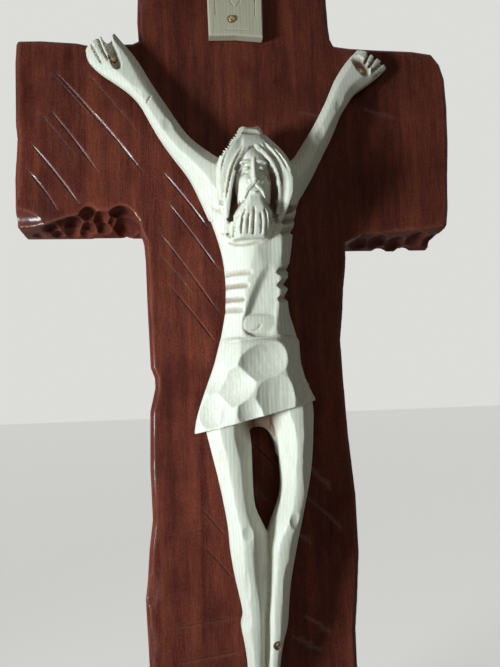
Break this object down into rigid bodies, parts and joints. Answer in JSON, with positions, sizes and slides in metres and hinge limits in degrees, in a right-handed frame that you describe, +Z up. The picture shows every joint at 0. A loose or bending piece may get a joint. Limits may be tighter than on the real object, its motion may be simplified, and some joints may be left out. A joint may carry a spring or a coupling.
{
  "type": "wall crucifix",
  "caption": "Hand-carved wooden wall crucifix: stained cross glued from staves, pale whittled figure on pins, plain title plaque and a ring hanger let into the back.",
  "frame": {"origin": "on the flat back of the cross, where the centre line of the arms meets that of the upright", "axes": "+Z up along the upright, +X to the right of a viewer who faces the figure, +Y into the wall"},
  "size_m": [0.1872, 0.057, 0.37],
  "materials": {
    "stained_wood": "dark red-brown stain under semi-gloss varnish, vertical grain",
    "pale_wood": "bare pale carving wood, knife facets",
    "plaque_wood": "bare greyish pale wood",
    "dowel_wood": "plain turned dowel",
    "pin_bronze": "dark tarnished pin",
    "hanger_brass": "brass, lightly tarnished"
  },
  "bodies": {
    "cross": {"upright_board": "stained_wood", "left_arm_board": "stained_wood", "right_arm_board": "stained_wood", "left_stave_dowel_1": "dowel_wood", "left_stave_dowel_2": "dowel_wood", "right_stave_dowel_1": "dowel_wood", "right_stave_dowel_2": "dowel_wood", "corpus_body": "pale_wood", "corpus_left_arm": "pale_wood", "corpus_right_arm": "pale_wood", "left_shoulder_dowel": "dowel_wood", "right_shoulder_dowel": "dowel_wood", "left_hand_pin": "pin_bronze", "right_hand_pin": "pin_bronze", "foot_pin": "pin_bronze", "title_plaque": "plaque_wood", "plaque_pin_lower": "pin_bronze", "plaque_pin_upper": "pin_bronze", "hanger_strap": "hanger_brass", "hanger_screw": "hanger_brass"},
    "ring": {"hanger_ring": "hanger_brass"}
  },
  "joints": [
    {"name": "ring_hinge", "type": "hinge", "parent": "cross", "child": "ring", "pos_m": [0, -0.00345, 0.07], "axis": [1, 0, 0], "range_deg": [0, 180]}
  ]
}
